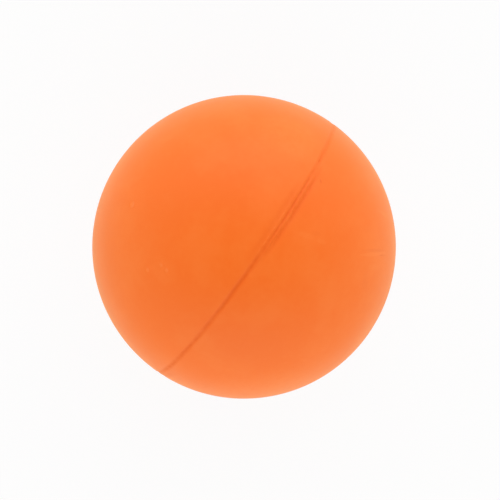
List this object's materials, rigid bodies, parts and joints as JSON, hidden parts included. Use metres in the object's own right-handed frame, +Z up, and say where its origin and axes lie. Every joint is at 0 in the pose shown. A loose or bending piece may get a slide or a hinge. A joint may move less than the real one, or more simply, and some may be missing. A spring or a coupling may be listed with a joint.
{
  "type": "squash ball",
  "caption": "Hollow orange rubber ball of half shells bonded at a seam of trimmed flash, a large beginner's squash ball that is hit with a racket and bounces high off a wall.",
  "frame": {"origin": "centre of the ball", "axes": "+Y along the axis that the half shells are turned about, square to the seam's plane; the seam lies in the XZ plane; +Z up"},
  "size_m": [0.06, 0.06, 0.06],
  "materials": {
    "rubber": "matte",
    "trimmed_rubber": "matte",
    "cement": "satin"
  },
  "bodies": {
    "root": {"right_half_shell": "rubber", "left_half_shell": "rubber", "seam_flash": "trimmed_rubber", "cement_ring": "cement", "inner_bead": "cement"}
  },
  "joints": []
}
